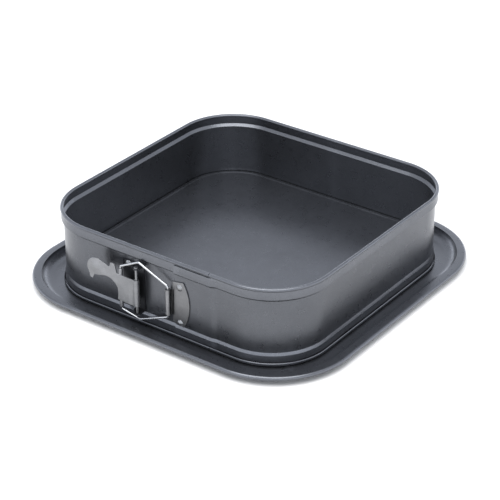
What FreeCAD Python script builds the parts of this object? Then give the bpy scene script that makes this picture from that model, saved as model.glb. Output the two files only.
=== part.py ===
import FreeCAD, Part
import math
import os

# Square springform pan: a drip-tray base and a removable ring that opens with an over-centre latch.
# Millimetres, +Z up.  Origin: centre of the underside of the drip tray.
# The latch is on the -Y wall.  "Half" sizes are measured from the pan's centre to a straight side.

# ---- ring (one strip of coated steel, split at two corners where it flexes) ----
BAND_T = 0.6              # sheet thickness of the ring
WALL_HALF = 120.5         # outer face of the wall
CORNER_CENTRE = 72.4      # centre of every ring corner, from the middle in X and in Y
LEDGE_TOP_Z = 12.2        # a small ledge steps the wall outward near the foot
LEDGE_BOTTOM_Z = 9.8
LEDGE_OUT = 0.9
COLLAR_LOW_Z = 57.4       # the wall steps outward again under the rim
COLLAR_HIGH_Z = 58.3
COLLAR_OUT = 2.1
CURL_R = 1.55             # outer radius of the rolled edges, rim and foot
RIM_CURL_HALF = 121.5
RIM_CURL_Z = 66.7
FOOT_CURL_HALF = 121.3
FOOT_CURL_Z = 2.7
FLEX_GAP_DEG = 0.2        # half of the gap at the two flexing corners
FOOT_JOIN = 1.2           # the wall strip ends this far above the centre of the rolled foot
RIM_JOIN = 0.95           # and this far below the centre of the rolled rim
COLLAR_INNER_RISE = 0.3   # the inner side of each step is shifted, which keeps the sheet thick there
LEDGE_INNER_DROP = 0.1

# ---- overlap of the two ends of the ring, on the latch side ----
INNER_END_X = 50.0        # where the inner end stops
OUTER_END_X = 17.3        # where the outer end stops
ROLL_GAP = 0.5            # notch between the rolled edges of the two ends
LAP_OUT = 0.9             # the outer end runs this far outside the inner one
LAP_DROP = 0.8            # and its collar step lies this much lower
LAP_LOW_Z = 4.7           # the outer end is trimmed between the rolled edges
LAP_HIGH_Z = 64.6
JOGGLE_LENGTH = 6.5

# ---- drip-tray base ----
TRAY_T = 0.7
PLATFORM_HALF = 119.4
PLATFORM_Z = 14.2
PLATFORM_EDGE_R = 1.2
TRAY_CORNER_CENTRE = 78.6
GUTTER_HALF = 129.5       # end of the flat gutter floor, start of the cove
LIP_INNER_HALF = 138.3
LIP_Z = 8.2
HEM_HALF = 143.75
HEM_R = 1.95
PLATFORM_FLAT_HALF = CORNER_CENTRE + 30.0   # the middle of the platform is one plate out to here
FLOOR_START_HALF = PLATFORM_HALF + 1.5      # the gutter floor starts here, and the platform's foot
FOOT_END_HALF = PLATFORM_HALF + 4.0         # runs on to here, so that the two are one sheet

# ---- latch ----
PIN_X = -15.4
PIN_OUT = 7.3             # pin axis, in front of the wall
PIN_R = 1.05
PIN_CLEARANCE = 0.06
PIN_SEAT_CLEARANCE = 0.02
PIN_HEAD_R = 1.7
PIN_HEAD_H = 0.75
PIN_HEAD_GAP = 0.05       # between each pin head and the ear next to it
CURL_OUTER_R = 2.1        # curled edge of the lever, around the pin
LEVER_T = 1.0
LEVER_LOW_Z = 19.8
LEVER_HIGH_Z = 42.8
LEVER_TILT_DEG = 4.0      # the closed lever leans this much towards the wall
EYE_ARM = 16.0            # pin axis to the eyes that hold the bail
EYE_R = 1.7
EYE_BORE_R = 1.15
EYE_LENGTH = 4.8
EYE_LOWER_LENGTH = 5.8
EYE_ROOT = 4.0            # how far each eye runs on along the plate
TAB_BEND_ARM = 17.4       # where the thumb tab starts to lean outward
TAB_LEAN_DEG = 11.0
TAB_ROOT = 0.8            # the tab starts this far inside the plate
TAB_HEAD_ARM = 38.2       # centre and radius of the round head of the tab
TAB_HEAD_Z = 43.4
TAB_HEAD_R = 8.6
BRACKET_T = 1.0
BRACKET_X = (-33.5, -12.6)
BRACKET_Z = (13.0, 53.4)
BRACKET_EAR_X = -21.5
BRACKET_EAR_R = 2.3
BRACKET_SHOULDER_OUT = 4.3
BRACKET_RIVET_X = -28.0
BRACKET_RIVET_Z = (17.8, 50.5)
RIVET_SHANK_R = 1.3
RIVET_HEAD_R = 2.7
RIVET_HEAD_H = 1.2
RIVET_TAIL_R = 1.7
RIVET_TAIL_H = 0.7
HOLE_CLEARANCE = 0.05
HOLE_OUT = 8.0            # rivet holes are drilled from here, in front of the wall, to inside it
HOLE_LENGTH = 12.0
BORE_LENGTH = 80.0        # long enough to pass through the whole latch

KNUCKLE_X = 12.2
KNUCKLE_OUT = 3.6
KNUCKLE_R = 2.2
KNUCKLE_BORE_R = 0.98
KNUCKLE_Z = (20.6, 42.6)
BAIL_R = 0.9
BAIL_TOP_Z = 58.0
BAIL_BOTTOM_Z = 8.1
BAIL_CORNER_ARM = 26.5    # knuckle axis to the two outer corners of the bail
BAIL_SIDE_Z = (18.0, 45.2)
BAIL_END_HIGH = (50.6, 48.3)   # where the upper end turns down, and where it stops
BAIL_END_LOW = (11.2, 13.2)    # the same for the lower end
BAIL_BEND_R = 1.3
PLATE_T = 0.9
PLATE_X = (15.8, 25.4, 31.2)   # straight edge, start of the bowed edge, its middle
PLATE_Z = (12.4, 51.4)
PLATE_SHOULDER = 1.8
TONGUE_ROOT = 0.6         # the tongue starts this far inside the plate
PLATE_RIVET_X = 22.0
PLATE_RIVET_Z = (15.3, 46.2)

Z_AXIS = FreeCAD.Vector(0, 0, 1)
ORIGIN = FreeCAD.Vector(0, 0, 0)


def vec(x, y, z):
    return FreeCAD.Vector(x, y, z)


def save(shape, name):
    """Writes one node, after making sure that it is valid."""
    shape = shape.removeSplitter()
    if not shape.isValid():
        shape.fix(1e-6, 1e-6, 1e-6)
    print(name, "valid", shape.isValid(), "solids", len(shape.Solids), "volume", round(shape.Volume, 1))
    shape.exportStep("parts/" + name + ".step")


def fuse(shapes):
    shapes = list(shapes)
    return shapes[0].fuse(shapes[1:]).removeSplitter() if len(shapes) > 1 else shapes[0]


# ---- cross-sections, drawn in the XZ plane with x as the half size ----

def polygon(points):
    return Part.Face(Part.makePolygon([vec(x, 0, z) for x, z in points + points[:1]]))


def disc(x, z, radius):
    return Part.Face(Part.Wire(Part.makeCircle(radius, vec(x, 0, z), vec(0, 1, 0))))


def rolled_edge(x, z, radius, sheet):
    """A curled edge is drawn as a closed tube."""
    return disc(x, z, radius).cut(disc(x, z, radius - sheet)).Faces[0]


def wall_points(out=0.0, low_z=FOOT_CURL_Z + FOOT_JOIN, high_z=RIM_CURL_Z - RIM_JOIN, drop=0.0):
    """The twelve corners of the wall strip, moved outward and with a lower collar step."""
    wall = WALL_HALF + out
    outer = [(wall + LEDGE_OUT, low_z), (wall + LEDGE_OUT, LEDGE_BOTTOM_Z), (wall, LEDGE_TOP_Z),
             (wall, COLLAR_LOW_Z - drop), (wall + COLLAR_OUT, COLLAR_HIGH_Z - drop),
             (wall + COLLAR_OUT, high_z)]
    collar_low = COLLAR_LOW_Z - drop + COLLAR_INNER_RISE
    collar_high = COLLAR_HIGH_Z - drop + COLLAR_INNER_RISE
    inner = [(wall + COLLAR_OUT - BAND_T, high_z), (wall + COLLAR_OUT - BAND_T, collar_high),
             (wall - BAND_T, collar_low), (wall - BAND_T, LEDGE_TOP_Z - LEDGE_INNER_DROP),
             (wall + LEDGE_OUT - BAND_T, LEDGE_BOTTOM_Z - LEDGE_INNER_DROP),
             (wall + LEDGE_OUT - BAND_T, low_z)]
    return outer + inner


def rolls():
    return [rolled_edge(RIM_CURL_HALF, RIM_CURL_Z, CURL_R, BAND_T),
            rolled_edge(FOOT_CURL_HALF, FOOT_CURL_Z, CURL_R, BAND_T)]


def band_section():
    """Wall strip with its rolled rim and rolled foot."""
    return [polygon(wall_points())] + rolls()


# ---- runs of a section round the square; side 0 is +X, 1 is +Y, 2 is -X and 3 is -Y ----
# A section is a list of faces, and each face becomes a solid of its own that is fused later.

def turned(shape, side):
    return shape.rotated(ORIGIN, Z_AXIS, 90 * side)


def straight(section, side, start, end):
    """Along one side, from start to end, counted anticlockwise."""
    along = vec(0, end - start, 0)
    return [turned(face.translated(vec(0, start, 0)).extrude(along), side) for face in section]


def corner(section, side, centre, start=0.0, end=90.0):
    """Round the corner after that side."""
    pivot = vec(centre, centre, 0)
    placed = [face.translated(vec(0, centre, 0)).rotated(pivot, Z_AXIS, start) for face in section]
    return [turned(face.revolve(pivot, Z_AXIS, end - start), side) for face in placed]


def whole_ring(section, centre):
    pieces = []
    for side in range(4):
        pieces += straight(section, side, -centre, centre) + corner(section, side, centre)
    return fuse(pieces)


def make_ring():
    section = band_section()
    c = CORNER_CENTRE
    half_a = 45.0 - FLEX_GAP_DEG
    half_b = 45.0 + FLEX_GAP_DEG
    save(fuse(corner(section, 0, c, half_b, 90) + straight(section, 1, -c, c)
              + corner(section, 1, c, 0, half_a)), "ring_band_back")

    left = fuse(corner(section, 1, c, half_b, 90) + straight(section, 2, -c, c)
                + corner(section, 2, c) + straight(section, 3, -c, INNER_END_X))
    for z in BRACKET_RIVET_Z:
        left = left.cut(rivet_hole(BRACKET_RIVET_X, z))
    save(left, "ring_band_left")

    # The outer end laps over the inner one, then a joggle brings it back into line.
    lap = polygon(wall_points(LAP_OUT, LAP_LOW_Z, LAP_HIGH_Z, LAP_DROP))
    plain = polygon(wall_points())
    roll_start = INNER_END_X + ROLL_GAP
    roll_end = roll_start + JOGGLE_LENGTH
    wires = [turned(face.OuterWire.translated(vec(0, y, 0)), 3)
             for face, y in ((lap, roll_start), (plain, roll_end))]
    pieces = straight([lap], 3, OUTER_END_X, roll_start) + [Part.makeLoft(wires, True, True)]
    pieces += straight(rolls(), 3, roll_start, roll_end) + straight(section, 3, roll_end, c)
    pieces += corner(section, 3, c) + straight(section, 0, -c, c) + corner(section, 0, c, 0, half_a)
    right = fuse(pieces)
    for z in PLATE_RIVET_Z:
        right = right.cut(rivet_hole(PLATE_RIVET_X, z))
    save(right, "ring_band_right")


# ---- base ----

def tray_rim_section():
    """Flat gutter floor, cove, flat lip and rolled hem."""
    rise = LIP_Z - TRAY_T
    run = LIP_INNER_HALF - GUTTER_HALF
    cove_r = (run ** 2 + rise ** 2) / (2 * rise)
    cove_z = TRAY_T + cove_r
    under_r = cove_r + TRAY_T
    top_angle = math.asin(run / cove_r)
    under_angle = math.acos((cove_z - (LIP_Z - TRAY_T)) / under_r)

    def cove_point(radius, angle):
        return vec(GUTTER_HALF + radius * math.sin(angle), 0, cove_z - radius * math.cos(angle))

    top = [vec(FLOOR_START_HALF, 0, TRAY_T), vec(GUTTER_HALF, 0, TRAY_T)]
    lip = [cove_point(cove_r, top_angle), vec(HEM_HALF, 0, LIP_Z)]
    under = [vec(HEM_HALF, 0, LIP_Z - TRAY_T), cove_point(under_r, under_angle)]
    floor = [vec(GUTTER_HALF, 0, 0), vec(FLOOR_START_HALF, 0, 0)]
    edges = [Part.makeLine(*top),
             Part.Arc(top[1], cove_point(cove_r, top_angle / 2), lip[0]).toShape(),
             Part.makeLine(*lip), Part.makeLine(lip[1], under[0]), Part.makeLine(*under),
             Part.Arc(under[1], cove_point(under_r, under_angle / 2), floor[0]).toShape(),
             Part.makeLine(*floor), Part.makeLine(floor[1], top[0])]
    return [Part.Face(Part.Wire(edges)), rolled_edge(HEM_HALF, LIP_Z - HEM_R, HEM_R, TRAY_T)]


def platform_section():
    """From the flat of the platform over its rounded edge and down to the gutter floor."""
    edge_x = PLATFORM_HALF - PLATFORM_EDGE_R
    edge_z = PLATFORM_Z - PLATFORM_EDGE_R
    inner_r = PLATFORM_EDGE_R - TRAY_T

    def edge_point(radius, degrees):
        angle = math.radians(degrees)
        return vec(edge_x + radius * math.cos(angle), 0, edge_z + radius * math.sin(angle))

    top = [vec(PLATFORM_FLAT_HALF, 0, PLATFORM_Z), edge_point(PLATFORM_EDGE_R, 90)]
    side = [edge_point(PLATFORM_EDGE_R, 0), vec(PLATFORM_HALF, 0, TRAY_T),
            vec(FOOT_END_HALF, 0, TRAY_T), vec(FOOT_END_HALF, 0, 0),
            vec(PLATFORM_HALF - TRAY_T, 0, 0), edge_point(inner_r, 0)]
    under = [edge_point(inner_r, 90), vec(PLATFORM_FLAT_HALF, 0, PLATFORM_Z - TRAY_T), top[0]]
    edges = [Part.makeLine(*top), Part.Arc(top[1], edge_point(PLATFORM_EDGE_R, 45), side[0]).toShape()]
    edges += [Part.makeLine(a, b) for a, b in zip(side, side[1:])]
    edges += [Part.Arc(side[-1], edge_point(inner_r, 45), under[0]).toShape()]
    edges += [Part.makeLine(a, b) for a, b in zip(under, under[1:])]
    return [Part.Face(Part.Wire(edges))]


def rounded_square(half, centre, z, height):
    section = [polygon([(centre, z), (half, z), (half, z + height), (centre, z + height)])]
    pieces = [Part.makeBox(2 * half, 2 * centre, height, vec(-half, -centre, z)),
              Part.makeBox(2 * centre, 2 * half, height, vec(-centre, -half, z))]
    for side in range(4):
        pieces += corner(section, side, centre)
    return fuse(pieces)


def make_base():
    plate = rounded_square(PLATFORM_FLAT_HALF, CORNER_CENTRE, PLATFORM_Z - TRAY_T, TRAY_T)
    rise = whole_ring(platform_section(), CORNER_CENTRE)
    rim = whole_ring(tray_rim_section(), TRAY_CORNER_CENTRE)
    save(fuse([plate, rise, rim]), "base_tray")


# ---- latch ----

def front(x, out, z):
    """A point in front of the latch wall."""
    return vec(x, -(WALL_HALF + out), z)


def cylinder_z(radius, x, out, low, high):
    return Part.makeCylinder(radius, high - low, front(x, out, low), Z_AXIS)


def front_box(x, out, z):
    """A box from ranges in X, distance from the wall, and Z."""
    return Part.makeBox(x[1] - x[0], out[1] - out[0], z[1] - z[0], front(x[0], out[1], z[0]))


def rivet_hole(x, z):
    radius = RIVET_SHANK_R + HOLE_CLEARANCE
    return Part.makeCylinder(radius, HOLE_LENGTH, front(x, HOLE_OUT, z), vec(0, 1, 0))


def rivet(x, z, seat_out, grip, has_tail):
    """Domed head on the outside, plain shank through the sheets, and a flat tail if there is room."""
    dome_r = (RIVET_HEAD_R ** 2 + RIVET_HEAD_H ** 2) / (2 * RIVET_HEAD_H)
    ball = Part.makeSphere(dome_r, front(x, seat_out + RIVET_HEAD_H - dome_r, z))
    cap = Part.makeCylinder(RIVET_HEAD_R, RIVET_HEAD_H, front(x, seat_out + RIVET_HEAD_H, z), vec(0, 1, 0))
    pieces = [ball.common(cap), Part.makeCylinder(RIVET_SHANK_R, grip, front(x, seat_out, z), vec(0, 1, 0))]
    if has_tail:
        tail_start = front(x, seat_out - grip, z)
        pieces.append(Part.makeCylinder(RIVET_TAIL_R, RIVET_TAIL_H, tail_start, vec(0, 1, 0)))
    return fuse(pieces)


def make_bracket():
    """A strap against the wall, with an ear above and below the lever to hold the pin."""
    pieces = [front_box(BRACKET_X, (0, BRACKET_T), BRACKET_Z)]
    diagonal = BRACKET_EAR_R * math.sqrt(0.5)
    for low in (BRACKET_Z[0], BRACKET_Z[1] - BRACKET_T):
        ear = [front(BRACKET_EAR_X, 0, low), front(BRACKET_EAR_X, BRACKET_SHOULDER_OUT, low),
               front(PIN_X - diagonal, PIN_OUT + diagonal, low), front(BRACKET_X[1], PIN_OUT, low),
               front(BRACKET_X[1], 0, low)]
        pieces.append(Part.Face(Part.makePolygon(ear + ear[:1])).extrude(vec(0, 0, BRACKET_T)))
        pieces.append(cylinder_z(BRACKET_EAR_R, PIN_X, PIN_OUT, low, low + BRACKET_T))
    bracket = fuse(pieces).cut(cylinder_z(PIN_R + PIN_SEAT_CLEARANCE, PIN_X, PIN_OUT, 0, BORE_LENGTH))
    for z in BRACKET_RIVET_Z:
        bracket = bracket.cut(rivet_hole(BRACKET_RIVET_X, z))
    save(bracket, "lever_bracket")
    for z, name in zip(BRACKET_RIVET_Z, ("lower", "upper")):
        save(rivet(BRACKET_RIVET_X, z, BRACKET_T, BRACKET_T + BAND_T, True), "bracket_rivet_" + name)

    low_head_top = BRACKET_Z[0] - PIN_HEAD_GAP
    high_head_base = BRACKET_Z[1] + PIN_HEAD_GAP
    low_end = low_head_top - PIN_HEAD_H
    high_end = high_head_base + PIN_HEAD_H
    save(fuse([cylinder_z(PIN_R, PIN_X, PIN_OUT, low_end, high_end),
               cylinder_z(PIN_HEAD_R, PIN_X, PIN_OUT, low_end, low_head_top),
               cylinder_z(PIN_HEAD_R, PIN_X, PIN_OUT, high_head_base, high_end)]), "lever_pin")


def lever_plate(outline, thickness):
    """A flat blank: arm runs away from the pin along local -X, and the blank grows towards the wall."""
    points = [vec(-arm, 0, z) for arm, z in outline]
    return Part.Face(Part.makePolygon(points + points[:1])).extrude(vec(0, thickness, 0))


def make_lever():
    """Built about the pin axis with the plate square to Y, then tilted and carried to the pin."""
    front_y = -CURL_OUTER_R
    plate = lever_plate([(0, LEVER_LOW_Z), (TAB_BEND_ARM, LEVER_LOW_Z), (TAB_BEND_ARM, LEVER_HIGH_Z),
                         (0, LEVER_HIGH_Z)], LEVER_T)
    # The thumb tab, as (arm, z) points: lower edge of the neck, beak under the head, round head, prong
    # above the neck.
    root = TAB_BEND_ARM - TAB_ROOT
    lower_edge = [(root, 25.0), (TAB_BEND_ARM + 0.2, 25.6), (18.4, 30.0), (20.4, 33.4), (23.6, 36.6),
                  (27.0, 38.0), (31.0, 37.6), (36.0, 36.6), (40.5, 36.2)]
    beak = [(42.2, 33.0), (44.2, 33.2), (46.2, 39.4)]
    upper_edge = [(TAB_HEAD_ARM, 50.8), (32.0, 50.6), (27.5, 48.4), (24.2, 46.2)]
    prong = [(22.2, 50.4), (20.9, 50.2), (19.6, 47.2), (TAB_BEND_ARM + 0.2, LEVER_HIGH_Z),
             (root, LEVER_HIGH_Z)]
    neck = lever_plate(lower_edge + beak + upper_edge + prong, LEVER_T)
    head = Part.makeCylinder(TAB_HEAD_R, LEVER_T, vec(-TAB_HEAD_ARM, 0, TAB_HEAD_Z), vec(0, 1, 0))
    bend = vec(-TAB_BEND_ARM, 0, 0)
    tab = fuse([neck, head]).rotated(bend, Z_AXIS, TAB_LEAN_DEG)
    blank = fuse([plate, tab]).translated(vec(0, front_y, 0))
    curl = Part.makeCylinder(CURL_OUTER_R, LEVER_HIGH_Z - LEVER_LOW_Z, vec(0, 0, LEVER_LOW_Z))
    eye_y = front_y + EYE_R
    upper_root = vec(-EYE_ARM, eye_y, LEVER_HIGH_Z - EYE_ROOT)
    lower_end = vec(-EYE_ARM, eye_y, LEVER_LOW_Z - EYE_LOWER_LENGTH)
    eyes = [Part.makeCylinder(EYE_R, EYE_LENGTH + EYE_ROOT, upper_root),
            Part.makeCylinder(EYE_R, EYE_LOWER_LENGTH + EYE_ROOT, lower_end)]
    lever = fuse([blank, curl] + eyes)
    lever = lever.cut(Part.makeCylinder(PIN_R + PIN_CLEARANCE, BORE_LENGTH, ORIGIN))
    lever = lever.cut(Part.makeCylinder(EYE_BORE_R, BORE_LENGTH, vec(-EYE_ARM, eye_y, 0)))
    lever.rotate(ORIGIN, Z_AXIS, -LEVER_TILT_DEG)
    lever.translate(front(PIN_X, PIN_OUT, 0))
    save(lever, "latch_lever")


def eye_position():
    """X and distance from the wall of the eye axis on the closed lever."""
    tilt = math.radians(LEVER_TILT_DEG)
    inset = CURL_OUTER_R - EYE_R
    return (PIN_X - EYE_ARM * math.cos(tilt) - inset * math.sin(tilt),
            PIN_OUT - EYE_ARM * math.sin(tilt) + inset * math.cos(tilt))


def rounded_path(points, radius):
    """Straight runs joined by arcs that touch both runs."""
    edges = []
    last = points[0]
    for before, point, after in zip(points, points[1:], points[2:]):
        into = (before - point).normalize()
        away = (after - point).normalize()
        half_turn = math.acos(max(-1.0, min(1.0, -into.dot(away)))) / 2
        cut = radius * math.tan(half_turn)
        start = point + into * cut
        end = point + away * cut
        middle = (into + away).normalize()
        centre = point + middle * (radius / math.cos(half_turn))
        edges.append(Part.makeLine(last, start))
        edges.append(Part.Arc(start, centre - middle * radius, end).toShape())
        last = end
    edges.append(Part.makeLine(last, points[-1]))
    return Part.Wire(edges)


def make_bail():
    eye_x, eye_out = eye_position()
    reach = math.hypot(eye_x - KNUCKLE_X, eye_out - KNUCKLE_OUT)

    def at(arm, z):
        share = arm / reach
        x = KNUCKLE_X + (eye_x - KNUCKLE_X) * share
        return front(x, KNUCKLE_OUT + (eye_out - KNUCKLE_OUT) * share, z)

    route = [at(reach, BAIL_END_HIGH[1]), at(reach, BAIL_END_HIGH[0]), at(BAIL_CORNER_ARM, BAIL_TOP_Z),
             at(0, BAIL_SIDE_Z[1]), at(0, BAIL_SIDE_Z[0]), at(BAIL_CORNER_ARM, BAIL_BOTTOM_Z),
             at(reach, BAIL_END_LOW[0]), at(reach, BAIL_END_LOW[1])]
    path = rounded_path(route, BAIL_BEND_R)
    section = Part.Wire(Part.makeCircle(BAIL_R, route[0], Z_AXIS))
    bail = path.makePipeShell([section], True, True)
    expected = path.Length * math.pi * BAIL_R ** 2
    print("bail volume", round(bail.Volume, 1), "of", round(expected, 1))
    save(bail, "bail_wire")


def make_hinge_plate():
    low, high = PLATE_Z
    straight_x, bow_x, bow_mid = PLATE_X
    middle_z = (low + high) / 2
    back = LAP_OUT
    corners = [front(straight_x, back, low + PLATE_SHOULDER), front(bow_x, back, low),
               front(bow_mid, back, middle_z), front(bow_x, back, high),
               front(straight_x, back, high - PLATE_SHOULDER)]
    edges = [Part.makeLine(corners[0], corners[1]), Part.Arc(*corners[1:4]).toShape(),
             Part.makeLine(corners[3], corners[4]), Part.makeLine(corners[4], corners[0])]
    plate = Part.Face(Part.Wire(edges)).extrude(vec(0, -PLATE_T, 0))
    for z in PLATE_RIVET_Z:
        plate = plate.cut(rivet_hole(PLATE_RIVET_X, z))
    # The tongue leaves the plate, rises a little and curls round the bail.
    tongue_low, tongue_high = KNUCKLE_Z
    tongue_x = straight_x + TONGUE_ROOT
    knuckle_back = KNUCKLE_OUT - KNUCKLE_R
    bridge = [front(KNUCKLE_X, knuckle_back, tongue_low), front(tongue_x, LAP_OUT, tongue_low),
              front(tongue_x, LAP_OUT + PLATE_T, tongue_low),
              front(KNUCKLE_X, knuckle_back + PLATE_T, tongue_low)]
    tongue = Part.Face(Part.makePolygon(bridge + bridge[:1])).extrude(vec(0, 0, tongue_high - tongue_low))
    knuckle = cylinder_z(KNUCKLE_R, KNUCKLE_X, KNUCKLE_OUT, tongue_low, tongue_high)
    bore = cylinder_z(KNUCKLE_BORE_R, KNUCKLE_X, KNUCKLE_OUT, 0, BORE_LENGTH)
    plate = fuse([plate, tongue, knuckle]).cut(bore)
    save(plate, "bail_hinge_plate")
    for z, name in zip(PLATE_RIVET_Z, ("lower", "upper")):
        save(rivet(PLATE_RIVET_X, z, LAP_OUT + PLATE_T, PLATE_T + BAND_T, False), "plate_rivet_" + name)


os.makedirs("parts", exist_ok=True)
make_base()
make_ring()
make_bracket()
make_lever()
make_bail()
make_hinge_plate()
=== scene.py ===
import math

import bmesh
import bpy
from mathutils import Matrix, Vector


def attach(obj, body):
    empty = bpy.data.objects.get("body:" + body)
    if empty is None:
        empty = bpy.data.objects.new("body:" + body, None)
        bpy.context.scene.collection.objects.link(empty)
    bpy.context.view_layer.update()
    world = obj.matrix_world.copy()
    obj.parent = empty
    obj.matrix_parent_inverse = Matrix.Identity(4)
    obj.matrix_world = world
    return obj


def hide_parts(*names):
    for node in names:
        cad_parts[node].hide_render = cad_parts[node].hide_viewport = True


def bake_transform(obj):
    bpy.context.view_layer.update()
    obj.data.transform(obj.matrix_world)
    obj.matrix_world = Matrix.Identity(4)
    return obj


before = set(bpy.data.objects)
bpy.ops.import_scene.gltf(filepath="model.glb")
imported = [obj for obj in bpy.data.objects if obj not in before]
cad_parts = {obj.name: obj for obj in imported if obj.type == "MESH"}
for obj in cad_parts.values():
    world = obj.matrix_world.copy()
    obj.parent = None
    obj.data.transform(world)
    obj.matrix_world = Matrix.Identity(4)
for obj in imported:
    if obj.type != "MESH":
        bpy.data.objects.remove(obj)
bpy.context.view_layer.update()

MM = 0.001                # every size below is in millimetres, and becomes metres in the meshes

# ---- ring ----
BAND_T = 0.6
WALL_HALF = 120.5
CORNER_CENTRE = 72.4
LEDGE_TOP_Z = 12.2
LEDGE_BOTTOM_Z = 9.8
LEDGE_OUT = 0.9
COLLAR_LOW_Z = 56.8
COLLAR_HIGH_Z = 58.8
COLLAR_OUT = 2.1
COLLAR_LEAN = 0.8         # the collar leans in by this much on its way up to the rim
CURL_R = 1.55
CURL_BORE_R = 0.95
# The sheet of each rolled edge runs between two angles; the rest is the slit beside its free edge.
RIM_CURL_DEG = (-45, 235)
FOOT_CURL_DEG = (108, 412)
RIM_HALF = 121.5
RIM_Z = 66.7
FOOT_HALF = 121.3
FOOT_Z = 2.7
STEP_RADIUS = 0.32
FOOT_JOIN = 1.2           # the wall strip ends this far above the centre of the rolled foot
RIM_JOIN = 0.95           # and this far below the centre of the rolled rim
COLLAR_INNER_RISE = 0.3   # the inner side of each step is shifted, which keeps the sheet thick there
LEDGE_INNER_DROP = 0.1
INNER_END_X = 50.0
OUTER_END_X = 17.3
ROLL_GAP = 0.5
LAP_OUT = 0.9
LAP_DROP = 0.8
LAP_LOW_Z = 4.7
LAP_HIGH_Z = 64.6
JOGGLE_LENGTH = 6.5

# ---- base ----
TRAY_T = 0.7
PLATFORM_HALF = 119.4
PLATFORM_Z = 14.2
PLATFORM_EDGE_R = 1.2
BEAD_H = 0.35             # low bead round the platform, just inside its edge
BEAD_HALVES = (114.6, 116.0, 117.0, 118.0)
BEAD_RADII = (1.0, 0.8, 0.8, 0.1)
PLATFORM_RINGS = (0.02, 0.25, 0.5, 0.75, 0.93)  # loops over the flat middle, as shares of the platform
TRAY_CORNER_CENTRE = 78.6
FOOT_RADIUS = 0.5
GUTTER_HALF = 129.5
LIP_INNER_HALF = 138.3
LIP_Z = 8.2
LIP_EDGE_R = 0.35
LIP_RISE = 0.02           # the lip is this much higher at its inner edge
HEM_HALF = 143.75
HEM_R = 1.95

# ---- latch ----
PIN_X = -15.4
PIN_OUT = 7.3
LEVER_T = 1.0
LEVER_OUTER_R = 2.1
LEVER_LOW_Z = 19.8
LEVER_HIGH_Z = 42.8
LEVER_TILT_DEG = 4.0
LEVER_WRAP_DEG = 285.0    # how far the lever's edge curls round the pin
EYE_ARM = 16.0
EYE_R = 1.7
EYE_BORE_R = 1.15
EYE_UPPER_Z = (38.8, 47.6)
EYE_LOWER_Z = (14.0, 23.8)
TAB_BEND_ARM = 17.4
TAB_BEND_HALF = 1.0       # the bend is spread over this much on each side
TAB_LEAN_DEG = 11.0
TAB_HEAD = (37.4, 43.0, 8.3)   # arm and height of its centre, and its radius
TAB_HEAD_DEG = (-32, 108)
# The lever's outline from the pin's edge round to it again, as (arm, z, corner radius).
LEVER_BELOW_HEAD = [
    (18.4, LEVER_LOW_Z, 0.7), (17.8, 25.4, 0.8), (18.2, 30.0, 3.0), (20.4, 33.8, 4.0), (24.0, 37.0, 4.0),
    (29.0, 38.2, 5.0), (35.6, 37.0, 3.0), (39.2, 36.6, 1.2), (41.0, 32.8, 0.6), (43.2, 33.4, 1.0)]
LEVER_ABOVE_HEAD = [
    (30.2, 49.0, 4.0), (25.4, 46.4, 1.4), (24.2, 51.0, 0.6), (20.6, 50.4, 0.6), (18.9, LEVER_HIGH_Z, 0.8)]
LEVER_CURL_CORNER_R = 0.3
TAB_DISH = 1.0            # the head is pressed outward by this much in its middle
VALLEY_DEPTH = 0.28       # a shallow valley between the curl and the flat of the lever
VALLEY_ARMS = (0.7, 2.3, 3.6, 7.0)
KNUCKLE_X = 12.2
KNUCKLE_OUT = 3.6
KNUCKLE_OUTER_R = 2.2
KNUCKLE_Z = (20.6, 42.6)
KNUCKLE_WRAP_DEG = 300.0
BAIL_R = 0.9
BAIL_REACH = 43.69
BAIL_CORNER_ARM = 26.5
BAIL_TOP_Z = 58.0
BAIL_BOTTOM_Z = 7.6
BAIL_SIDE_Z = (18.0, 45.2)
BAIL_END_HIGH = (49.6, 47.8)   # the ends turn towards the eyes and stop just outside them
BAIL_END_LOW = (12.0, 13.8)
BAIL_END_BEND_R = 1.4
BAIL_CORNER_BEND_R = 2.2
BAIL_SIDE_BEND_R = 2.6
PLATE_T = 0.9
PLATE_X = (15.3, 25.4, 31.2)
PLATE_Z = (12.4, 51.4)
PLATE_SHOULDER = 1.8
PLATE_CORNER_R = 0.7
TONGUE_STEPS = (1.2, 0.3, -0.9, -2.0)   # from the plate's straight edge, towards the knuckle
SHEET_EDGE = 0.14         # rounding of cut sheet edges
SOFT_EDGE = 0.12          # and of the edges of the bracket, pin and rivets

# How finely the curved parts are divided.
RUN_STEPS = 10
TURN_STEPS = 28
ROLL_STEPS = 24
COVE_STEPS = 14
HEM_STEPS = 26
TAB_HEAD_STEPS = 18
CURL_CUTS = 24
VALLEY_CUTS = 15
VALLEY_CUT_STEP = 0.45
TAB_CUT_ARM = 21.0        # the dished tab is divided both ways, from this arm and this height on
TAB_CUT_Z = 33.0
TAB_CUT_STEP = 1.5
WIRE_STEPS = 16
BOW_STEPS = 24
KNUCKLE_STEPS = 30
WELD_DISTANCE = 0.004     # points closer than this are one


# ---- outlines ----

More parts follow.
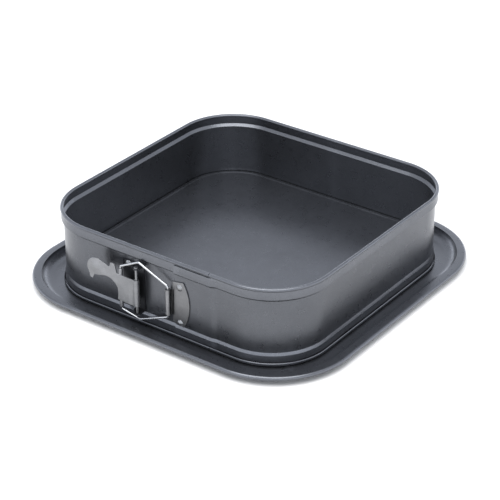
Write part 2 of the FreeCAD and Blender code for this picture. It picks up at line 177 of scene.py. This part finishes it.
def fillet(outline, closed=True, steps=5):
    """Rounds the corners of an outline of (x, z, radius); a corner with no radius stays as it is."""
    points = []
    count = len(outline)
    for i, (x, z, radius) in enumerate(outline):
        point = Vector((x, z))
        ends = not closed and i in (0, count - 1)
        if ends or radius == 0:
            points.append(point)
            continue
        before = Vector(outline[i - 1][:2]) - point
        after = Vector(outline[(i + 1) % count][:2]) - point
        into, away = before.normalized(), after.normalized()
        half_turn = (math.pi - into.angle(away)) / 2
        cut = min(radius * math.tan(half_turn), 0.49 * before.length, 0.49 * after.length)
        radius = cut / math.tan(half_turn)
        centre = point + (into + away).normalized() * (radius / math.cos(half_turn))
        start, end = point + into * cut - centre, point + away * cut - centre
        first = math.atan2(start.y, start.x)
        sweep = math.atan2(start.x * end.y - start.y * end.x, start.dot(end))
        for k in range(steps + 1):
            angle = first + sweep * k / steps
            points.append(centre + radius * Vector((math.cos(angle), math.sin(angle))))
    return points


def arc(x, z, radius, start_deg, end_deg, steps):
    angles = [math.radians(start_deg + (end_deg - start_deg) * k / steps) for k in range(steps + 1)]
    return [Vector((x + radius * math.cos(a), z + radius * math.sin(a))) for a in angles]


def plain(points):
    """Finished points, as corners that fillet leaves alone."""
    return [(p.x, p.y, 0) for p in points]


def smooth_step(t):
    t = max(0.0, min(1.0, t))
    return t * t * (3 - 2 * t)


# ---- stations round the rounded square: side, place along it as a share of its half length, or an angle ----

def run(side, start, end, steps=RUN_STEPS):
    return [(side, start + (end - start) * k / steps, None) for k in range(steps + 1)]


def turn(side):
    return [(side, None, math.radians(90.0 * k / TURN_STEPS)) for k in range(1, TURN_STEPS)]


def around(half, z, centre, station):
    side, share, angle = station
    if angle is None:
        x, y = half, share * centre
    else:
        x = centre + (half - centre) * math.cos(angle)
        y = centre + (half - centre) * math.sin(angle)
    for _ in range(side):
        x, y = -y, x
    return Vector((x, y, z)) * MM


# ---- meshes ----

def shell(loops, ring=False):
    """Skin over closed loops of points; the two ends are capped unless the loops form a ring."""
    size = len(loops[0])
    points = [p for loop in loops for p in loop]
    faces = []
    for i in range(len(loops) if ring else len(loops) - 1):
        a, b = i * size, ((i + 1) % len(loops)) * size
        faces += [(a + j, a + (j + 1) % size, b + (j + 1) % size, b + j) for j in range(size)]
    if not ring:
        faces += [tuple(range(size)), tuple(range((len(loops) - 1) * size, len(loops) * size))]
    return points, faces


def mesh_from(name, shells):
    points, faces = [], []
    for some_points, some_faces in shells:
        start = len(points)
        points += some_points
        faces += [tuple(start + i for i in face) for face in some_faces]
    mesh = bpy.data.meshes.new(name)
    mesh.from_pydata(points, [], faces)
    return mesh


def piece(name, mesh, material, nodes, body=None, sharp_deg=32.0):
    """Finishes a mesh as a shown piece that stands for some CAD nodes."""
    work = bmesh.new()
    work.from_mesh(mesh)
    bmesh.ops.remove_doubles(work, verts=work.verts, dist=WELD_DISTANCE * MM)
    bmesh.ops.recalc_face_normals(work, faces=work.faces)
    work.to_mesh(mesh)
    work.free()
    mesh.shade_smooth()
    mesh.set_sharp_from_angle(angle=math.radians(sharp_deg))
    mesh.materials.append(material)
    obj = bpy.data.objects.new(name, mesh)
    bpy.context.scene.collection.objects.link(obj)
    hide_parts(*nodes)
    if body:
        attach(obj, body)
    return obj


def sheet(outlines, thickness):
    """A flat blank from closed outlines in (u, v), its middle at w = 0, with softly rounded cut edges."""
    curve = bpy.data.curves.new("blank", "CURVE")
    curve.dimensions = "2D"
    curve.fill_mode = "BOTH"
    curve.extrude = (thickness / 2 - SHEET_EDGE) * MM
    curve.bevel_depth = SHEET_EDGE * MM
    curve.bevel_resolution = 2
    curve.offset = -SHEET_EDGE * MM
    for outline in outlines:
        spline = curve.splines.new("POLY")
        spline.points.add(len(outline) - 1)
        for place, point in zip(spline.points, outline):
            place.co = (point.x * MM, point.y * MM, 0, 1)
        spline.use_cyclic_u = True
    holder = bpy.data.objects.new("blank", curve)
    bpy.context.scene.collection.objects.link(holder)
    bpy.context.view_layer.update()
    mesh = bpy.data.meshes.new_from_object(holder.evaluated_get(bpy.context.evaluated_depsgraph_get()))
    bpy.data.objects.remove(holder)
    bpy.data.curves.remove(curve)
    return mesh


def cut_and_bend(mesh, cuts, bend):
    """Cuts a blank along lines (axis, place), then moves every point by bend(u, v, w), in millimetres."""
    work = bmesh.new()
    work.from_mesh(mesh)
    bmesh.ops.remove_doubles(work, verts=work.verts, dist=WELD_DISTANCE * MM)
    for axis, place in cuts:
        normal = Vector((1, 0, 0)) if axis == 0 else Vector((0, 1, 0))
        bmesh.ops.bisect_plane(work, geom=work.verts[:] + work.edges[:] + work.faces[:],
                               plane_co=normal * place * MM, plane_no=normal, dist=1e-7)
    for vert in work.verts:
        vert.co = bend(*(vert.co / MM)) * MM
    work.to_mesh(mesh)
    work.free()
    return mesh


def add_shells(mesh, shells):
    extra = mesh_from("extra", shells)
    work = bmesh.new()
    work.from_mesh(mesh)
    work.from_mesh(extra)
    work.to_mesh(mesh)
    work.free()
    bpy.data.meshes.remove(extra)
    return mesh


# ---- materials ----

def metal(name, colour, metallic, roughness, grain, grain_depth, streak=0.0, cloud_scale=28.0,
          mottle=0.05, painted_shade_zones=()):
    """Metal or coated metal: cloudy tone, fine grain, scuffs that change the gloss, and worn edges.

    Each of the painted_shade_zones is (from x, to x, factor) and paints shade: the tone changes by that
    factor over that run in X.
    """
    material = bpy.data.materials.new(name)
    material.use_nodes = True
    tree = material.node_tree
    shader = tree.nodes["Principled BSDF"]
    shader.inputs["Metallic"].default_value = metallic
    link = tree.links.new

    def node(kind, **values):
        made = tree.nodes.new(kind)
        for key, value in values.items():
            if key in made.inputs:
                made.inputs[key].default_value = value
            else:
                setattr(made, key, value)
        return made

    def remap(value, from_min, from_max, to_min, to_max):
        made = node("ShaderNodeMapRange")
        link(value, made.inputs["Value"])
        made.inputs["From Min"].default_value = from_min
        made.inputs["From Max"].default_value = from_max
        made.inputs["To Min"].default_value = to_min
        made.inputs["To Max"].default_value = to_max
        return made.outputs["Result"]

    def multiply(a, b):
        made = node("ShaderNodeMath", operation="MULTIPLY")
        link(a, made.inputs[0])
        link(b, made.inputs[1])
        return made.outputs["Value"]

    place = node("ShaderNodeTexCoord")
    stretch = node("ShaderNodeMapping")
    stretch.inputs["Scale"].default_value = (1, 1, 1 + streak)
    link(place.outputs["Object"], stretch.inputs["Vector"])
    cloud = node("ShaderNodeTexNoise", Scale=cloud_scale, Detail=4.0, Roughness=0.6)
    fine = node("ShaderNodeTexNoise", Scale=grain, Detail=3.0, Roughness=0.65)
    scuff = node("ShaderNodeTexNoise", Scale=160.0, Detail=6.0, Roughness=0.7)
    for texture in (cloud, fine, scuff):
        link(stretch.outputs["Vector"], texture.inputs["Vector"])

    tone = remap(cloud.outputs["Fac"], 0.35, 0.65, 1.0 - mottle, 1.0 + mottle)
    speck = remap(fine.outputs["Fac"], 0.3, 0.7, 0.86, 1.14)
    edge = node("ShaderNodeNewGeometry")
    worn = remap(edge.outputs["Pointiness"], 0.52, 0.60, 1.0, 1.25)
    strength = multiply(multiply(tone, speck), worn)
    # Painted shade: the tone is scaled by each zone's factor over its run in X.
    if painted_shade_zones:
        split = node("ShaderNodeSeparateXYZ")
        link(place.outputs["Object"], split.inputs["Vector"])
    for start, end, factor in painted_shade_zones:
        strength = multiply(strength, remap(split.outputs["X"], start * MM, end * MM, 1.0, factor))

    paint = node("ShaderNodeVectorMath", operation="SCALE")
    paint.inputs[0].default_value = colour
    link(strength, paint.inputs["Scale"])
    link(paint.outputs["Vector"], shader.inputs["Base Color"])

    gloss = remap(scuff.outputs["Fac"], 0.3, 0.7, roughness * 0.85, roughness * 1.15)
    link(gloss, shader.inputs["Roughness"])

    bump = node("ShaderNodeBump", Strength=0.35, Distance=grain_depth * MM)
    link(fine.outputs["Fac"], bump.inputs["Height"])
    link(bump.outputs["Normal"], shader.inputs["Normal"])
    return material


COATING = metal("coating", (0.106, 0.110, 0.120), 0.93, 0.30, 1500.0, 0.03)
# The bracket lies in the ring's own shade; its coating is painted nearly black as painted shade for that
# shadow.
BRACKET_PAINTED_SHADE = metal("bracket_painted_shade", (0.034, 0.035, 0.038), 0.90, 0.34, 1500.0, 0.03)
LATCH_STEEL = metal("latch_steel", (0.214, 0.216, 0.222), 0.95, 0.40, 1800.0, 0.02, streak=0.5,
                    cloud_scale=70.0, mottle=0.09)
# The strip of the tongue between the knuckle and the plate is painted nearly black: painted shade in the
# crevice. The knuckle and the plate keep the same tone.
PLATE_STEEL = metal("plate_steel", (0.165, 0.165, 0.168), 0.95, 0.38, 1800.0, 0.02, streak=1.0,
                    cloud_scale=60.0, mottle=0.09, painted_shade_zones=((14.1, 14.4, 0.05), (15.1, 15.3, 20.0)))
BRIGHT_STEEL = metal("bright_steel", (0.21, 0.213, 0.216), 1.0, 0.36, 2200.0, 0.01)
CHROME = metal("bail_chrome", (0.36, 0.365, 0.37), 1.0, 0.26, 2600.0, 0.006)


# ---- ring ----

def strip_profile(lap):
    """Section of the wall strip; lap is 1 where the outer end runs outside the inner one."""
    wall = WALL_HALF + LAP_OUT * lap
    low = FOOT_Z + FOOT_JOIN + (LAP_LOW_Z - FOOT_Z - FOOT_JOIN) * lap
    high = RIM_Z - RIM_JOIN + (LAP_HIGH_Z - RIM_Z + RIM_JOIN) * lap
    drop = LAP_DROP * lap
    collar = wall + COLLAR_OUT
    collar_top = collar - COLLAR_LEAN
    ledge = wall + LEDGE_OUT
    return fillet([
        (ledge, low, 0), (ledge, LEDGE_BOTTOM_Z, STEP_RADIUS), (wall, LEDGE_TOP_Z, STEP_RADIUS),
        (wall, COLLAR_LOW_Z - drop, STEP_RADIUS), (collar, COLLAR_HIGH_Z - drop, STEP_RADIUS),
        (collar_top, high, 0), (collar_top - BAND_T, high, 0),
        (collar - BAND_T, COLLAR_HIGH_Z - drop + COLLAR_INNER_RISE, STEP_RADIUS),
        (wall - BAND_T, COLLAR_LOW_Z - drop + COLLAR_INNER_RISE, STEP_RADIUS),
        (wall - BAND_T, LEDGE_TOP_Z - LEDGE_INNER_DROP, STEP_RADIUS),
        (ledge - BAND_T, LEDGE_BOTTOM_Z - LEDGE_INNER_DROP, STEP_RADIUS), (ledge - BAND_T, low, 0)])


def along_front(x):
    return (3, x / CORNER_CENTRE, None)


def strip(stations, lap_at=lambda station: 0.0):
    return shell([[around(p.x, p.y, CORNER_CENTRE, station) for p in strip_profile(lap_at(station))]
                  for station in stations])


def rolls(stations):
    """The rolled rim and foot: curled sheet, with a slit along its free edge."""
    shells = []
    for half, z, (start, end) in ((RIM_HALF, RIM_Z, RIM_CURL_DEG), (FOOT_HALF, FOOT_Z, FOOT_CURL_DEG)):
        section = arc(half, z, CURL_R, start, end, ROLL_STEPS)
        section += arc(half, z, CURL_BORE_R, end, start, ROLL_STEPS)
        shells.append(shell([[around(p.x, p.y, CORNER_CENTRE, station) for p in section]
                             for station in stations]))
    return shells


def make_ring():
    """Two long skins that meet at the middle of the back; each bends across its back corner."""
    inner_end = INNER_END_X / CORNER_CENTRE
    left = run(1, 0, 1) + turn(1) + run(2, -1, 1) + turn(2) + run(3, -1, inner_end, 2 * RUN_STEPS)
    shells = [strip(left)] + rolls(left)
    skin = piece("ring_skin_left", mesh_from("ring_skin_left", shells), COATING,
                 ["ring_band_left", "ring_band_back"])
    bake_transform(skin)

    roll_start = INNER_END_X + ROLL_GAP
    lap_end = roll_start + JOGGLE_LENGTH

    def lap_at(station):
        side, share, angle = station
        if side != 3 or angle is not None:
            return 0.0
        return 1.0 - smooth_step((share * CORNER_CENTRE - roll_start) / JOGGLE_LENGTH)

    rest = turn(3) + run(0, -1, 1) + turn(0) + run(1, -1, 0)
    lap = run(3, OUTER_END_X / CORNER_CENTRE, roll_start / CORNER_CENTRE)
    joggle = run(3, roll_start / CORNER_CENTRE, lap_end / CORNER_CENTRE, 10)[1:]
    level = run(3, lap_end / CORNER_CENTRE, 1)[1:]
    shells = [strip(lap + joggle + level + rest, lap_at)]
    shells += rolls([along_front(roll_start)] + joggle + level + rest)
    skin = piece("ring_skin_right", mesh_from("ring_skin_right", shells), COATING,
                 ["ring_band_right"])
    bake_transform(skin)


# ---- base ----

def make_base():
    rise = LIP_Z - TRAY_T
    reach = LIP_INNER_HALF - GUTTER_HALF
    cove_r = (reach ** 2 + rise ** 2) / (2 * rise)
    cove_z = TRAY_T + cove_r
    top_turn = math.degrees(math.asin(reach / cove_r))
    under_turn = math.degrees(math.acos((cove_z - LIP_Z + TRAY_T) / (cove_r + TRAY_T)))
    hem_join = math.degrees(math.asin((HEM_R - TRAY_T) / HEM_R))
    inner = PLATFORM_HALF - TRAY_T

    bead_start, bead_top, bead_end, bead_foot = BEAD_HALVES
    start_r, top_r, end_r, foot_r = BEAD_RADII
    line = fillet([(PLATFORM_HALF / 2, PLATFORM_Z, 0), (bead_start, PLATFORM_Z, start_r),
                   (bead_top, PLATFORM_Z + BEAD_H, top_r), (bead_end, PLATFORM_Z + BEAD_H, end_r),
                   (bead_foot, PLATFORM_Z, foot_r), (PLATFORM_HALF, PLATFORM_Z, PLATFORM_EDGE_R),
                   (PLATFORM_HALF, TRAY_T, FOOT_RADIUS), (GUTTER_HALF - 1, TRAY_T, 0)], closed=False)[1:]
    line += arc(GUTTER_HALF, cove_z, cove_r, -90, -90 + top_turn, COVE_STEPS)
    lip = LIP_INNER_HALF + LIP_EDGE_R
    line += [Vector((lip, LIP_Z + LIP_RISE)), Vector(((lip + HEM_HALF) / 2, LIP_Z))]
    line += arc(HEM_HALF, LIP_Z - HEM_R, HEM_R, 90, -180 - hem_join, HEM_STEPS)
    line += arc(GUTTER_HALF, cove_z, cove_r + TRAY_T, -90 + under_turn, -90, COVE_STEPS)
    line += fillet([(GUTTER_HALF - 1, 0, 0), (inner, 0, FOOT_RADIUS),
                    (inner, PLATFORM_Z - TRAY_T, FOOT_RADIUS), (PLATFORM_HALF / 2, PLATFORM_Z - TRAY_T, 0)],
                   closed=False)[:-1]

    def centre_of(half):
        share = smooth_step((half - WALL_HALF) / (GUTTER_HALF - WALL_HALF))
        return CORNER_CENTRE + (TRAY_CORNER_CENTRE - CORNER_CENTRE) * share

    stations = []
    for side in range(4):
        stations += run(side, -1, 1) + turn(side)

    def flat(share, z):
        return [around(PLATFORM_HALF * share, z, CORNER_CENTRE * share, s) for s in stations]

    loops = [flat(share, PLATFORM_Z) for share in PLATFORM_RINGS]
    loops += [[around(p.x, p.y, centre_of(p.x), s) for s in stations] for p in line]
    loops += [flat(share, PLATFORM_Z - TRAY_T) for share in PLATFORM_RINGS[::-1]]
    piece("base_skin", mesh_from("base_skin", [shell(loops)]), COATING, ["base_tray"],
          body="base", sharp_deg=40.0)


# ---- latch ----

def front(x, out, z):
    return Vector((x, -(WALL_HALF + out), z))


def lever_point(x, y, z):
    """From the lever's own axes, about the pin, to the closed position."""
    tilt = math.radians(-LEVER_TILT_DEG)
    return Vector((x * math.cos(tilt) - y * math.sin(tilt) + PIN_X,
                   x * math.sin(tilt) + y * math.cos(tilt) - (WALL_HALF + PIN_OUT), z))


def lever_bend(arm, z, proud):
    """Curls the blank round the pin, keeps the plate flat, and leans the thumb tab outward."""
    middle = LEVER_OUTER_R - LEVER_T / 2
    if arm < 0:
        angle = -arm / middle
        radius = middle + proud
        return lever_point(radius * math.sin(angle), -radius * math.cos(angle), z)
    start = TAB_BEND_ARM - TAB_BEND_HALF
    lean = math.radians(TAB_LEAN_DEG)
    bend_r = 2 * TAB_BEND_HALF / lean
    turned = min(max(arm - start, 0.0) / bend_r, lean)
    past = max(arm - start - 2 * TAB_BEND_HALF, 0.0)
    x = -min(arm, start) - bend_r * math.sin(turned) - past * math.cos(lean)
    y = -middle - bend_r * (1 - math.cos(turned)) - past * math.sin(lean)
    near, full, leaving, far = VALLEY_ARMS
    y += VALLEY_DEPTH * smooth_step((arm - near) / (full - near)) * smooth_step((far - arm) / (far - leaving))
    head_arm, head_z, head_r = TAB_HEAD
    off_centre = math.hypot(arm - head_arm, z - head_z) / head_r
    proud += TAB_DISH * (1 - smooth_step(off_centre))
    return lever_point(x + proud * math.sin(turned), y - proud * math.cos(turned), z)


def tube(axis_point, outer_r, inner_r, low, high, chamfer=0.15, steps=28):
    """An upright hollow tube; axis_point(dx, dy, z) places a point round its axis."""
    section = [(outer_r - chamfer, low), (outer_r, low + chamfer), (outer_r, high - chamfer),
               (outer_r - chamfer, high), (inner_r + chamfer, high), (inner_r, high - chamfer),
               (inner_r, low + chamfer), (inner_r + chamfer, low)]
    loops = []
    for radius, z in section:
        angles = [2 * math.pi * k / steps for k in range(steps)]
        loops.append([axis_point(radius * math.cos(a), radius * math.sin(a), z) * MM for a in angles])
    return shell(loops, ring=True)


def make_lever():
    wrap = math.radians(LEVER_WRAP_DEG) * (LEVER_OUTER_R - LEVER_T / 2)
    head_arm, head_z, head_r = TAB_HEAD
    head = arc(head_arm, head_z, head_r, *TAB_HEAD_DEG, TAB_HEAD_STEPS)
    outline = fillet([(-wrap, LEVER_LOW_Z, LEVER_CURL_CORNER_R)] + LEVER_BELOW_HEAD + plain(head)
                     + LEVER_ABOVE_HEAD + [(-wrap, LEVER_HIGH_Z, LEVER_CURL_CORNER_R)])
    # Lines across the blank wherever it curls, dips, bends or is dished.
    cuts = [(0, -wrap + wrap * k / CURL_CUTS) for k in range(1, CURL_CUTS + 1)]
    cuts += [(0, VALLEY_ARMS[0] + VALLEY_CUT_STEP * k) for k in range(VALLEY_CUTS)]
    cuts += [(0, TAB_BEND_ARM - TAB_BEND_HALF + TAB_BEND_HALF * k / 3) for k in range(7)]
    cuts += [(0, TAB_CUT_ARM + TAB_CUT_STEP * k) for k in range(18)]
    cuts += [(1, TAB_CUT_Z + TAB_CUT_STEP * k) for k in range(13)]
    mesh = cut_and_bend(sheet([outline], LEVER_T), cuts, lever_bend)
    eye_y = EYE_R - LEVER_OUTER_R

    def eye(dx, dy, z):
        return lever_point(-EYE_ARM + dx, eye_y + dy, z)

    eyes = [tube(eye, EYE_R, EYE_BORE_R, *EYE_UPPER_Z), tube(eye, EYE_R, EYE_BORE_R, *EYE_LOWER_Z)]
    piece("lever_skin", add_shells(mesh, eyes), LATCH_STEEL, ["latch_lever"], body="lever",
          sharp_deg=40.0)


def make_bail():
    tilt = math.radians(LEVER_TILT_DEG)
    inset = LEVER_OUTER_R - EYE_R
    eye_x = PIN_X - EYE_ARM * math.cos(tilt) - inset * math.sin(tilt)
    eye_out = PIN_OUT - EYE_ARM * math.sin(tilt) + inset * math.cos(tilt)
    start = front(KNUCKLE_X, KNUCKLE_OUT, 0)
    outward = (front(eye_x, eye_out, 0) - start).normalized()
    across = outward.cross(Vector((0, 0, 1)))
    route = fillet([
        (BAIL_REACH, BAIL_END_HIGH[1], 0), (BAIL_REACH, BAIL_END_HIGH[0], BAIL_END_BEND_R),
        (BAIL_CORNER_ARM, BAIL_TOP_Z, BAIL_CORNER_BEND_R),
        (0, BAIL_SIDE_Z[1], BAIL_SIDE_BEND_R), (0, BAIL_SIDE_Z[0], BAIL_SIDE_BEND_R),
        (BAIL_CORNER_ARM, BAIL_BOTTOM_Z, BAIL_CORNER_BEND_R),
        (BAIL_REACH, BAIL_END_LOW[0], BAIL_END_BEND_R), (BAIL_REACH, BAIL_END_LOW[1], 0)],
        closed=False, steps=8)
    loops = []
    for i, point in enumerate(route):
        ahead = (route[min(i + 1, len(route) - 1)] - route[max(i - 1, 0)]).normalized()
        side = outward * -ahead.y + Vector((0, 0, 1)) * ahead.x
        centre = start + outward * point.x + Vector((0, 0, point.y))
        loop = []
        for k in range(WIRE_STEPS):
            angle = 2 * math.pi * k / WIRE_STEPS
            spoke = side * (BAIL_R * math.cos(angle)) + across * (BAIL_R * math.sin(angle))
            loop.append((centre + spoke) * MM)
        loops.append(loop)
    piece("bail_skin", mesh_from("bail_skin", [shell(loops)]), CHROME, ["bail_wire"],
          body="bail", sharp_deg=50.0)


def make_hinge_plate():
    low, high = PLATE_Z
    straight, bow, bow_mid = PLATE_X
    half = (high - low) / 2
    sag = bow_mid - bow
    bow_r = (half ** 2 + sag ** 2) / (2 * sag)
    spread = math.degrees(math.asin(half / bow_r))
    bow_edge = arc(bow_mid - bow_r, (low + high) / 2, bow_r, -spread, spread, BOW_STEPS)
    outline = fillet([(straight, high - PLATE_SHOULDER, PLATE_CORNER_R),
                      (straight, low + PLATE_SHOULDER, PLATE_CORNER_R)]
                     + plain(bow_edge))
    blank = sheet([outline], PLATE_T)
    out = LAP_OUT + PLATE_T / 2
    mesh = cut_and_bend(blank, [], lambda x, z, w: front(x, out + w, z))

    # The tongue runs to the knuckle behind the bail, and curls round it.
    middle = KNUCKLE_OUTER_R - PLATE_T / 2
    back = KNUCKLE_OUT - middle
    route = [Vector((straight + step, out)) for step in TONGUE_STEPS[:-1]]
    route += [Vector((straight + TONGUE_STEPS[-1], back))]
    route += arc(KNUCKLE_X, KNUCKLE_OUT, middle, -90, -90 - KNUCKLE_WRAP_DEG, KNUCKLE_STEPS)
    loops = []
    for i, point in enumerate(route):
        ahead = (route[min(i + 1, len(route) - 1)] - route[max(i - 1, 0)]).normalized()
        side = Vector((-ahead.y, ahead.x)) * (PLATE_T / 2)
        corners = [(point + side, KNUCKLE_Z[0]), (point + side, KNUCKLE_Z[1]),
                   (point - side, KNUCKLE_Z[1]), (point - side, KNUCKLE_Z[0])]
        loops.append([front(p.x, p.y, z) * MM for p, z in corners])
    piece("hinge_plate_skin", add_shells(mesh, [shell(loops)]), PLATE_STEEL,
          ["bail_hinge_plate"], body="ring_right", sharp_deg=35.0)


def finish_cad_parts():
    """The bracket, pin and rivets keep their CAD shape, with softened edges."""
    for name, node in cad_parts.items():
        if node.hide_render:
            continue
        # The bracket gets the nearly black coating, which is painted shade.
        material = BRACKET_PAINTED_SHADE if name == "lever_bracket" else BRIGHT_STEEL
        node.data.materials.clear()
        node.data.materials.append(material)
        soften = node.modifiers.new("soften", "BEVEL")
        soften.width = SOFT_EDGE * MM
        soften.segments = 2
        soften.limit_method = "ANGLE"
        soften.angle_limit = math.radians(50)


# ---- studio ----

# The studio is in metres and degrees.
CAMERA_AZIMUTH = 36.14
CAMERA_ELEVATION = 29.33
CAMERA_DISTANCE = 1.4768
CAMERA_TARGET = Vector((-0.00093, -0.00068, 0.01635))
CAMERA_LENS = 130.48
SKY_COLOUR = (0.94, 0.985, 1.08, 1)
SKY_LOW_STRENGTH = 3.0
SKY_HIGH_STRENGTH = 1.22
SKY_FADE = (0.16, 0.40)   # the light drops between these heights of the sky
PAPER_COLOUR = (0.69, 0.68, 0.66, 1)
PAPER_HALF = 6


def look_from(azimuth, elevation):
    a, e = math.radians(azimuth), math.radians(elevation)
    return Vector((math.sin(a) * math.cos(e), -math.cos(a) * math.cos(e), math.sin(e)))


def aim(obj, target):
    obj.rotation_euler = (target - obj.location).to_track_quat("-Z", "Y").to_euler()


def softbox(name, azimuth, elevation, distance, size, power):
    light = bpy.data.lights.new(name, "AREA")
    light.shape = "RECTANGLE"
    light.size, light.size_y = size
    light.energy = power
    obj = bpy.data.objects.new(name, light)
    bpy.context.scene.collection.objects.link(obj)
    obj.location = look_from(azimuth, elevation) * distance
    aim(obj, Vector((0, 0, 0.03)))


def make_studio():
    scene = bpy.context.scene
    scene.view_settings.view_transform = "Standard"
    world = bpy.data.worlds.new("studio")
    world.use_nodes = True
    tree = world.node_tree
    tree.nodes["Background"].inputs["Color"].default_value = SKY_COLOUR
    # Soft light from everywhere, stronger low down all round, as from white walls.
    place = tree.nodes.new("ShaderNodeTexCoord")
    height = tree.nodes.new("ShaderNodeSeparateXYZ")
    level = tree.nodes.new("ShaderNodeMapRange")
    level.interpolation_type = "SMOOTHSTEP"
    level.inputs["From Min"].default_value, level.inputs["From Max"].default_value = SKY_FADE
    level.inputs["To Min"].default_value = SKY_LOW_STRENGTH
    level.inputs["To Max"].default_value = SKY_HIGH_STRENGTH
    tree.links.new(place.outputs["Generated"], height.inputs["Vector"])
    tree.links.new(height.outputs["Z"], level.inputs["Value"])
    tree.links.new(level.outputs["Result"], tree.nodes["Background"].inputs["Strength"])
    scene.world = world

    mesh = bpy.data.meshes.new("floor")
    corners = [(x * PAPER_HALF, y * PAPER_HALF, 0) for x, y in ((-1, -1), (1, -1), (1, 1), (-1, 1))]
    mesh.from_pydata(corners, [], [(0, 1, 2, 3)])
    floor = bpy.data.objects.new("floor", mesh)
    scene.collection.objects.link(floor)
    paper = bpy.data.materials.new("paper")
    paper.use_nodes = True
    shader = paper.node_tree.nodes["Principled BSDF"]
    shader.inputs["Base Color"].default_value = PAPER_COLOUR
    shader.inputs["Roughness"].default_value = 0.9
    mesh.materials.append(paper)

    softbox("key", 20, 72, 1.6, (1.6, 1.6), 35)
    softbox("fill", 120, 35, 1.6, (1.0, 1.0), 2)

    lens = bpy.data.cameras.new("camera")
    lens.lens = CAMERA_LENS
    lens.sensor_width = 36
    camera = bpy.data.objects.new("camera", lens)
    scene.collection.objects.link(camera)
    camera.location = CAMERA_TARGET + look_from(CAMERA_AZIMUTH, CAMERA_ELEVATION) * CAMERA_DISTANCE
    aim(camera, CAMERA_TARGET)
    scene.camera = camera


make_ring()
make_base()
make_lever()
make_bail()
make_hinge_plate()
finish_cad_parts()
make_studio()
